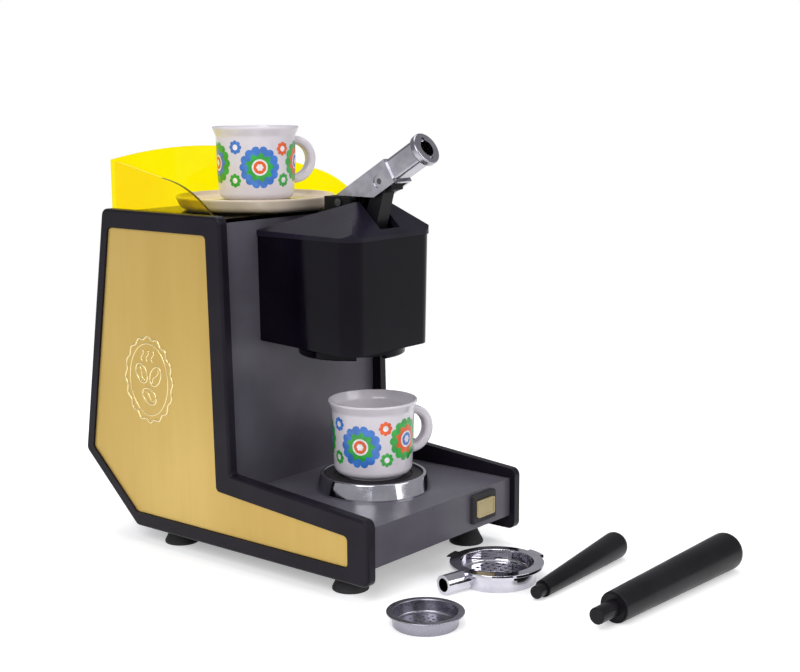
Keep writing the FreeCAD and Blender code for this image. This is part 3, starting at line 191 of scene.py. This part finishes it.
def chrome(name, shade, rough_low=0.05, rough_high=0.16, ripple=0.10):
    """Chrome plate on a casting: a slight ripple and hazy, handled patches."""
    s = Surface(name, linear(shade, shade - 2, shade + 6), rough_low, 1.0)
    dull = linear(shade - 8, shade - 10, shade)
    bright = linear(shade + 8, shade + 6, shade + 13)
    s.vary_colour(s.noise(90), dull, bright)
    s.vary_rough(s.noise(160, detail=6.0), rough_low, rough_high, 0.4, 0.75)
    s.bump(s.noise(70, detail=2.0), ripple, 0.0004)
    return s


def steel(name, colour):
    """Plated steel with fine turning lines."""
    s = Surface(name, colour, 0.3, 1.0)
    s.vary_rough(s.noise(500, stretch=(1.0, 0.1, 1.0)), 0.2, 0.4)
    s.bump(s.noise(700, stretch=(1.0, 0.08, 1.0)), 0.08, 0.00005)
    return s


def amber():
    """Clear amber plastic with faint flow marks."""
    s = Surface("amber_clear", linear(255, 238, 4), 0.06)
    s.put("Transmission Weight", 1.0).put("IOR", 1.15)
    s.vary_colour(s.noise(16), linear(255, 232, 2), linear(255, 242, 8))
    s.vary_rough(s.noise(120, detail=5.0), 0.03, 0.12)
    s.bump(s.noise(22, stretch=(1.0, 1.0, 0.4), detail=1.0), 0.15, 0.0008)
    return s


def soft_rubber(name):
    """Matt black rubber with a fine tooth."""
    s = Surface(name, linear(30, 29, 31), 0.75)
    s.vary_colour(s.noise(220), linear(24, 23, 25), linear(38, 36, 39))
    s.bump(s.noise(900, detail=3.0), 0.25, 0.0001)
    return s


INK_THINNED = 0.88


def printed(name, colour):
    """A printed colour on the cups: slightly uneven ink under the gloss."""
    r, g, b = colour
    full = linear(r, g, b)
    thin = linear(r * INK_THINNED, g * INK_THINNED, b * INK_THINNED)
    s = Surface(name, full, 0.22)
    s.vary_colour(s.noise(260, detail=3.0), thin, full, 0.4, 0.62)
    s.vary_rough(s.noise(150), 0.16, 0.28)
    return s


def cup_plastic():
    """White glazed-looking plastic under a thin clear coat."""
    s = Surface("cup_plastic", linear(208, 202, 209), 0.18)
    s.vary_colour(s.noise(40), linear(203, 197, 205), linear(212, 207, 213))
    s.vary_rough(s.noise(110, detail=5.0), 0.12, 0.26)
    s.bump(s.noise(25, detail=1.0), 0.06, 0.0005)
    s.put("Coat Weight", 0.3).put("Coat Roughness", 0.1)
    return s


def dress(material, *names):
    """Gives CAD nodes a material."""
    for name in names:
        obj = frame["nodes"][name]
        obj.data.materials.clear()
        obj.data.materials.append(material.mat)


frame_plastic = moulded_plastic(
    "frame_plastic", linear(18, 15, 23), linear(26, 22, 32), 0.30, 0.44)
grey_plastic = moulded_plastic(
    "grey_plastic", linear(80, 77, 86), linear(89, 86, 95), 0.26, 0.40, gloss=0.3)
head_plastic = moulded_plastic(
    "head_plastic", linear(8, 5, 13), linear(12, 9, 18), 0.06, 0.16,
    grain_scale=600, grain=0.04, gloss=0.10)
cap_plastic = moulded_plastic(
    "cap_plastic", linear(19, 16, 26), linear(27, 24, 36), 0.24, 0.36)
yoke_plastic = moulded_plastic(
    "yoke_plastic", linear(14, 13, 15), linear(22, 21, 24), 0.35, 0.5)
handle_plastic = moulded_plastic(
    "handle_plastic", linear(14, 13, 16), linear(23, 21, 25), 0.22, 0.42,
    grain_scale=900, grain=0.10)
base_plastic = moulded_plastic(
    "base_plastic", linear(44, 43, 46), linear(54, 52, 56), 0.45, 0.6)
nylon = moulded_plastic(
    "nylon", linear(205, 204, 196), linear(220, 219, 212), 0.4, 0.55)
saucer_plastic = moulded_plastic(
    "saucer_plastic", linear(204, 188, 168), linear(216, 202, 184), 0.16, 0.30,
    grain_scale=500, grain=0.04, gloss=0.5)
switch_gold = moulded_plastic(
    "switch_gold", linear(176, 160, 118), linear(196, 181, 140), 0.25, 0.4)

dress(frame_plastic, "left_side_frame", "right_side_frame")
dress(gold_sheet(), "left_gold_panel", "right_gold_panel")
dress(grey_plastic, "body_shell", "back_cover")
dress(base_plastic, "base_plate", "cup_plate", "switch_bezel")
dress(soft_rubber("foot_rubber"),
      "foot_front_left", "foot_front_right", "foot_rear_left", "foot_rear_right")
dress(amber(), "amber_tray")
dress(head_plastic, "head_housing")
dress(cap_plastic, "head_cap")
dress(yoke_plastic, "fulcrum_bracket", "piston_yoke")
dress(chrome("lever_chrome", 164, 0.14, 0.30, 0.25), "lever_arm")
dress(chrome("bright_chrome", 200), "cup_ring", "portafilter")
dress(head_plastic, "group_collar")
dress(steel("basket_steel", linear(150, 148, 158)), "filter_basket")
dress(steel("plated_steel", linear(176, 176, 180)), "shower_plate", "base_screws",
      "cover_screws", "head_screws", "return_spring")
dress(steel("dark_steel", linear(96, 95, 100)), "fulcrum_pin", "link_pin")
dress(nylon, "pump_cylinder", "piston_head", "water_tank", "water_hose")
dress(soft_rubber("seal_rubber"), "piston_seal")
dress(switch_gold, "switch_button")
dress(saucer_plastic, "saucer")
dress(cup_plastic(), "lower_cup", "upper_cup")
dress(handle_plastic, "portafilter_handle", "lever_handle")


def new_piece(name, bm, body, material):
    """Makes a smooth piece of a mesh, which rides on a body and takes its finish from a slot."""
    mesh = bpy.data.meshes.new(name)
    bmesh.ops.recalc_face_normals(bm, faces=bm.faces)
    for face in bm.faces:
        face.smooth = True
    bm.to_mesh(mesh)
    bm.free()
    obj = bpy.data.objects.new(name, mesh)
    bpy.context.scene.collection.objects.link(obj)
    mesh.materials.append(material.mat)
    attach(obj, body)


# Printed rosettes on the cups
INKS = {
    "green": printed("ink_green", (46, 168, 62)),
    "orange": printed("ink_orange", (232, 92, 30)),
    "blue": printed("ink_blue", (64, 122, 206)),
    "white": printed("ink_white", (240, 236, 238)),
    "yellow": printed("ink_yellow", (244, 190, 48)),
}
INK_STEP = 0.05 * MM
CUP_RADIUS = 21.4 * MM
CUP_SEARCH_RADIUS = 22.6 * MM


class CupWall:
    """Finds the outside of a cup, so that prints lie on it."""

    def __init__(self, node, axis_x, axis_y):
        obj = frame["nodes"][node]
        points = [v.co.copy() for v in obj.data.vertices]
        faces = [tuple(p.vertices) for p in obj.data.polygons]
        self.tree = BVHTree.FromPolygons(points, faces)
        base_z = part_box(node)[0][2] / MM
        self.base = Vector((axis_x * MM, axis_y * MM, base_z * MM))

    def at(self, angle, height, lift):
        """The point at an angle and height on the wall, lifted off it."""
        away = Vector((math.cos(angle), math.sin(angle), 0))
        level = self.base + Vector((0, 0, height))
        hit, _, _, _ = self.tree.ray_cast(level + away * CUP_SEARCH_RADIUS, -away)
        if hit is None:
            hit = level + away * CUP_RADIUS
        return hit + away * lift


def petals(count, size, depth):
    """Outline of a rosette with round petals."""
    return lambda a: size * (1 - depth + depth * abs(math.cos(count * a / 2)) ** 0.5)


def disc(size):
    """Outline of a plain round spot."""
    return lambda a: size


def star(count, size, depth):
    """Outline of a rosette with pointed leaves."""
    return lambda a: size * (1 - depth * abs(((a * count / math.pi) % 2) - 1))


def print_shape(bm, wall, angle, height, outline, level, turn=0.0, steps=120, rings=12):
    """Lays one flat shape of ink on a cup's wall, over the levels below it."""
    lift = (level + 1) * INK_STEP
    centre = bm.verts.new(wall.at(angle, height, lift))
    previous = None
    for ring in range(1, rings + 1):
        current = []
        for i in range(steps):
            a = 2 * math.pi * i / steps
            reach = outline(a + turn) * MM * ring / rings
            around = angle + reach * math.cos(a) / CUP_RADIUS
            point = wall.at(around, height + reach * math.sin(a), lift)
            current.append(bm.verts.new(point))
        for i in range(steps):
            j = (i + 1) % steps
            if previous is None:
                bm.faces.new((centre, current[i], current[j]))
            else:
                bm.faces.new((previous[i], current[i], current[j], previous[j]))
        previous = current


# Radii of the rosettes' parts, in mm
BIG_PETALS = 11.2
BIG_LEAVES = 8.0
BIG_RING = 4.3
BIG_EYE = 3.4
BIG_HEART = 1.9
SMALL_PETALS = 3.7
SMALL_EYE = 1.5

# Angle in degrees, height in mm, then the inks from the outside in
BIG_FLOWERS = [
    (-158, 19.0, "blue", "green", "orange"),
    (-86, 21.5, "green", "orange", "blue"),
    (52, 20.0, "orange", "yellow", "green"),
    (126, 21.0, "green", "blue", "orange"),
]
SMALL_FLOWERS = [
    (-122, 28.5, "orange", "white"),
    (-120, 12.0, "green", "white"),
    (-50, 12.5, "blue", "white"),
    (-48, 29.5, "orange", "white"),
    (88, 28.5, "blue", "white"),
    (90, 12.0, "orange", "white"),
    (164, 12.0, "green", "white"),
    (166, 29.5, "blue", "white"),
]


def decorate(cup, body, axis_x, axis_y, shift):
    """Rosettes of round petals and leaves round a cup's wall, turned by shift degrees."""
    wall = CupWall(cup, axis_x, axis_y)
    layers = {}

    def add(ink, *args, **named):
        layers.setdefault(ink, bmesh.new())
        print_shape(layers[ink], wall, *args, **named)

    for angle, height, outer, middle, eye in BIG_FLOWERS:
        a = math.radians(angle + shift)
        h = height * MM
        add(outer, a, h, petals(14, BIG_PETALS, 0.16), 0)
        add(middle, a, h, star(9, BIG_LEAVES, 0.26), 1, turn=0.3)
        add("white", a, h, disc(BIG_RING), 2, steps=48, rings=4)
        add(eye, a, h, disc(BIG_EYE), 3, steps=48, rings=4)
        add("white", a, h, petals(6, BIG_HEART, 0.3), 4, steps=60, rings=3)
    for angle, height, outer, eye in SMALL_FLOWERS:
        a = math.radians(angle + shift)
        h = height * MM
        add(outer, a, h, petals(8, SMALL_PETALS, 0.24), 0, steps=96, rings=4)
        add(eye, a, h, disc(SMALL_EYE), 1, steps=36, rings=3)
    for ink, bm in layers.items():
        new_piece(f"{cup}_print_{ink}", bm, body, INKS[ink])


decorate("lower_cup", "cup_under_head", 0.0, -42.5, 0.0)
decorate("upper_cup", "cup_on_saucer", 2.0, 40.5, 28.0)


# Raised emblem on the left gold panel: a scalloped ring round three beans
EMBLEM_Y = 60.0
EMBLEM_Z = 91.0
EMBLEM_WIDTH = 36.0
EMBLEM_HEIGHT = 45.0
EMBLEM_LINE = 0.55
EMBLEM_SUNK = 0.02
RING_INSET = 3.2
RIM_WAVE = 0.035
RIM_WAVES = 16
THIN_LINE = EMBLEM_LINE * 0.7
BEAN_LINE = EMBLEM_LINE * 0.9
BEAN_LENGTH = 5.6
BEAN_WIDTH = 3.9
# Each bean's place from the emblem's centre, y and z, and its turn in radians
BEANS = [(0.0, -9.0, 0.5), (-5.2, 2.2, 2.1), (5.6, 3.0, 1.0)]
CREASE_LENGTH = 4.6
CREASE_SWING = 0.9
CREASE_STEPS = 6
STEAM_PLACES = (-3.4, 0.6, 4.6)
STEAM_START = 9.6
STEAM_STEP = 0.62
STEAM_SWING = 1.1
STEAM_POINTS = 11
BEAD_SIDES = 8
BEAD_FLATNESS = 0.8


def raised_line(name, points, closed, width, material, face_x):
    """A half-round bead that follows points (y, z) on the panel's face."""
    bm = bmesh.new()
    count = len(points)
    rings = []
    for i, (y, z) in enumerate(points):
        if closed:
            ahead = Vector(points[(i + 1) % count]) - Vector(points[i - 1])
        else:
            ahead = Vector(points[min(i + 1, count - 1)]) - Vector(points[max(i - 1, 0)])
        ahead.normalize()
        across = Vector((-ahead.y, ahead.x))
        ring = []
        for k in range(BEAD_SIDES + 1):
            a = math.pi * k / BEAD_SIDES
            off = across * math.cos(a) * width
            x = face_x - math.sin(a) * width * BEAD_FLATNESS
            ring.append(bm.verts.new(Vector((x, y + off.x, z + off.y)) * MM))
        rings.append(ring)
    last = count if closed else count - 1
    for i in range(last):
        a, b = rings[i], rings[(i + 1) % count]
        for k in range(BEAD_SIDES):
            bm.faces.new((a[k], a[k + 1], b[k + 1], b[k]))
        bm.faces.new((a[0], a[BEAD_SIDES], b[BEAD_SIDES], b[0]))
    if not closed:
        bm.faces.new(rings[0])
        bm.faces.new(list(reversed(rings[-1])))
    new_piece(name, bm, "machine", material)


def placed(cy, cz, turn, y, z):
    """The point (y, z) turned about the origin and moved to (cy, cz)."""
    along, across = math.cos(turn), math.sin(turn)
    return (cy + y * along - z * across, cz + y * across + z * along)


def ellipse(cy, cz, ry, rz, turn=0.0, steps=72, wave=0.0, waves=0):
    """Points round an ellipse, whose size may wave in and out."""
    points = []
    for i in range(steps):
        a = 2 * math.pi * i / steps
        grow = 1 + wave * math.cos(waves * a)
        points.append(placed(cy, cz, turn, ry * grow * math.cos(a), rz * grow * math.sin(a)))
    return points


def emblem():
    """The emblem's rim, ring, beans with their creases, and steam."""
    low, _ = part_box("left_gold_panel")
    face_x = low[0] / MM + EMBLEM_SUNK
    relief = Surface("emblem_relief", linear(232, 214, 160), 0.25, 0.8)
    relief.vary_rough(relief.noise(200), 0.18, 0.34)
    relief.bump(relief.noise(300, detail=3.0), 0.1, 0.0001)
    half_width, half_height = EMBLEM_WIDTH / 2, EMBLEM_HEIGHT / 2
    rim = ellipse(EMBLEM_Y, EMBLEM_Z, half_width, half_height, steps=240, wave=RIM_WAVE, waves=RIM_WAVES)
    raised_line("emblem_rim", rim, True, EMBLEM_LINE, relief, face_x)
    ring = ellipse(EMBLEM_Y, EMBLEM_Z, half_width - RING_INSET, half_height - RING_INSET, steps=96)
    raised_line("emblem_ring", ring, True, THIN_LINE, relief, face_x)
    for i, (dy, dz, turn) in enumerate(BEANS):
        cy, cz = EMBLEM_Y + dy, EMBLEM_Z + dz
        bean = ellipse(cy, cz, BEAN_LENGTH, BEAN_WIDTH, turn)
        raised_line(f"emblem_bean_{i}", bean, True, BEAN_LINE, relief, face_x)
        crease = []
        for k in range(2 * CREASE_STEPS + 1):
            t = k / CREASE_STEPS - 1
            crease.append(placed(cy, cz, turn, CREASE_LENGTH * t, CREASE_SWING * math.sin(t * math.pi)))
        raised_line(f"emblem_crease_{i}", crease, False, THIN_LINE, relief, face_x)
    for i, dy in enumerate(STEAM_PLACES):
        curl = []
        for k in range(STEAM_POINTS):
            rise = k * STEAM_STEP
            curl.append((EMBLEM_Y + dy + STEAM_SWING * math.sin(rise), EMBLEM_Z + STEAM_START + rise))
        raised_line(f"emblem_steam_{i}", curl, False, THIN_LINE, relief, face_x)


emblem()


# Studio: a white floor that fades into a white surrounding, and three soft lamps
FLOOR_SIZE = 6.0
FLOOR_COLOUR = (0.86, 0.86, 0.86, 1)
FLOOR_FADE_START = 0.30
FLOOR_FADE_END = 0.80
FLOOR_GLOW = 0.36
WHITE = (1, 1, 1, 1)
WORLD_COLOUR = (0.95, 0.96, 1.0, 1)
WORLD_LEVEL = 0.42


class Wiring:
    """Short calls for the node trees of the floor and the world."""

    def __init__(self, owner):
        owner.use_nodes = True
        self.nodes, self.links = owner.node_tree.nodes, owner.node_tree.links
        self.nodes.clear()

    def node(self, kind, **values):
        """A new node, with values set on its sockets by name."""
        made = self.nodes.new(kind)
        for name, value in values.items():
            made.inputs[name.replace("_", " ")].default_value = value
        return made

    def maths(self, operation, a, b):
        """The result of a sum on two sockets or numbers."""
        made = self.nodes.new("ShaderNodeMath")
        made.operation = operation
        for socket, value in zip(made.inputs, (a, b)):
            if isinstance(value, (int, float)):
                socket.default_value = value
            else:
                self.links.new(value, socket)
        return made.outputs[0]

    def mixed(self, factor, a, b):
        """Shader a where the factor is 0, and b where it is 1."""
        made = self.nodes.new("ShaderNodeMixShader")
        for socket, value in zip(made.inputs, (factor, a, b)):
            self.links.new(value, socket)
        return made.outputs[0]

    def seen(self, *rays):
        """1 for a ray of one of the named kinds."""
        path = self.nodes.new("ShaderNodeLightPath")
        total = path.outputs[rays[0]]
        for ray in rays[1:]:
            total = self.maths("MAXIMUM", total, path.outputs[ray])
        return total


def floor():
    """A pale floor that keeps the object's shadow and turns white further out."""
    bm = bmesh.new()
    bmesh.ops.create_grid(bm, x_segments=1, y_segments=1, size=FLOOR_SIZE)
    mesh = bpy.data.meshes.new("floor")
    bm.to_mesh(mesh)
    bm.free()
    obj = bpy.data.objects.new("floor", mesh)
    bpy.context.scene.collection.objects.link(obj)
    mat = bpy.data.materials.new("floor_white")
    wiring = Wiring(mat)
    out = wiring.node("ShaderNodeOutputMaterial")
    plain = wiring.node("ShaderNodeBsdfDiffuse", Color=FLOOR_COLOUR)
    white = wiring.node("ShaderNodeEmission", Color=WHITE, Strength=1.0)
    glow = wiring.node("ShaderNodeEmission", Color=WHITE)
    seen = wiring.seen("Is Camera Ray", "Is Glossy Ray", "Is Transmission Ray")
    wiring.links.new(wiring.maths("MULTIPLY", seen, FLOOR_GLOW), glow.inputs["Strength"])
    lit = wiring.nodes.new("ShaderNodeAddShader")
    wiring.links.new(plain.outputs[0], lit.inputs[0])
    wiring.links.new(glow.outputs[0], lit.inputs[1])
    place = wiring.nodes.new("ShaderNodeTexCoord")
    far = wiring.nodes.new("ShaderNodeVectorMath")
    far.operation = "LENGTH"
    wiring.links.new(place.outputs["Object"], far.inputs[0])
    fade = wiring.nodes.new("ShaderNodeMapRange")
    fade.interpolation_type = "SMOOTHSTEP"
    fade.inputs["From Min"].default_value = FLOOR_FADE_START
    fade.inputs["From Max"].default_value = FLOOR_FADE_END
    wiring.links.new(far.outputs["Value"], fade.inputs["Value"])
    factor = wiring.maths("MULTIPLY", fade.outputs["Result"], seen)
    surface = wiring.mixed(factor, lit.outputs[0], white.outputs[0])
    wiring.links.new(surface, out.inputs["Surface"])
    mesh.materials.append(mat)


def world():
    """A dim surrounding that lights the object, white to the camera and through clear plastic."""
    surrounding = bpy.data.worlds.new("studio")
    bpy.context.scene.world = surrounding
    wiring = Wiring(surrounding)
    out = wiring.node("ShaderNodeOutputWorld")
    dim = wiring.node("ShaderNodeBackground", Color=WORLD_COLOUR, Strength=WORLD_LEVEL)
    white = wiring.node("ShaderNodeBackground", Color=WHITE, Strength=1.0)
    seen = wiring.seen("Is Camera Ray", "Is Transmission Ray")
    wiring.links.new(wiring.mixed(seen, dim.outputs[0], white.outputs[0]), out.inputs["Surface"])


def lamp(name, place, target, size_x, size_y, power):
    """A soft rectangular lamp at a place, turned to its target."""
    data = bpy.data.lights.new(name, "AREA")
    data.shape = "RECTANGLE"
    data.size = size_x
    data.size_y = size_y
    data.energy = power
    obj = bpy.data.objects.new(name, data)
    bpy.context.scene.collection.objects.link(obj)
    turn = (Vector(target) - Vector(place)).to_track_quat("-Z", "Y").to_matrix().to_4x4()
    obj.matrix_world = Matrix.Translation(Vector(place)) @ turn


# Name, place, target, width and height in metres, power in watts
LAMPS = [
    ("key", (-1.3, -0.5, 1.1), (0, -0.02, 0.1), 1.0, 1.0, 18),
    ("front", (0.4, -1.5, 0.9), (0, 0, 0.1), 1.0, 0.9, 9),
    ("top", (0.2, 0.3, 1.5), (0, 0, 0.1), 1.1, 1.1, 10),
]


def studio():
    """Floor, surrounding and lamps."""
    floor()
    world()
    for values in LAMPS:
        lamp(*values)
    bpy.context.scene.view_settings.view_transform = "Standard"


camera()
studio()
